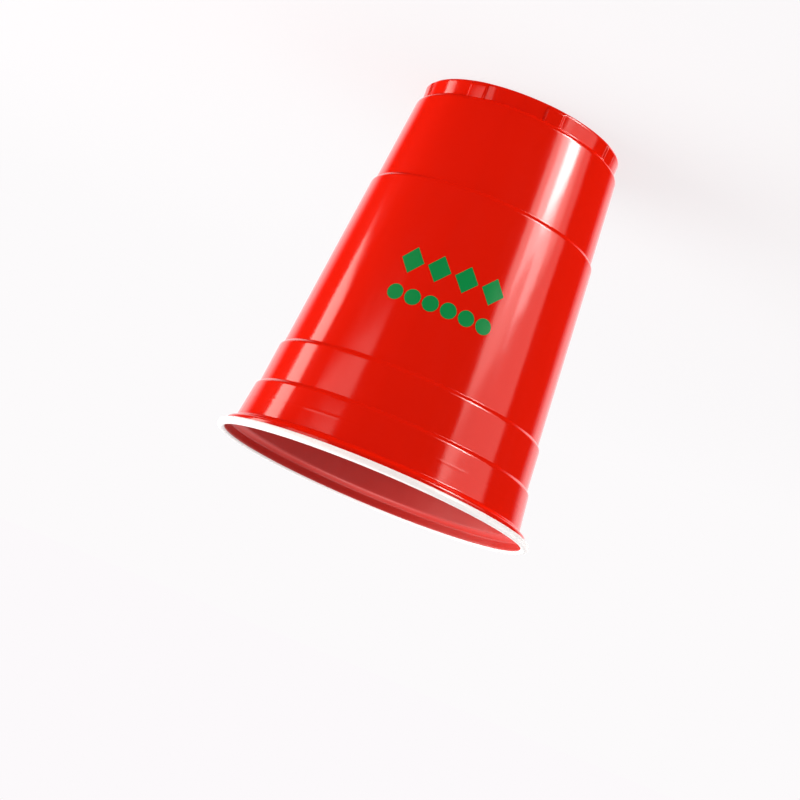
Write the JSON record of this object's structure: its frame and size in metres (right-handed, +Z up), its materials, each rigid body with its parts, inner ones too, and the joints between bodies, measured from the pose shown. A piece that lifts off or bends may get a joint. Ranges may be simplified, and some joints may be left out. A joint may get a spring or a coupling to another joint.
{
  "type": "plastic party cup",
  "caption": "Tapered drinking cup pressed from one plastic sheet, with stepped sides, a lugged foot collar, a recessed base and a white rolled lip.",
  "frame": {"origin": "middle of the foot, on the surface that the cup stands on", "axes": "+Z up along the cup's axis, from the foot to the open mouth; -Y faces the printed side"},
  "size_m": [0.097, 0.097, 0.1178],
  "materials": {
    "cup_sheet": "glossy red all over, white on the rolled lip"
  },
  "bodies": {
    "root": {"cup": "cup_sheet"}
  },
  "joints": []
}
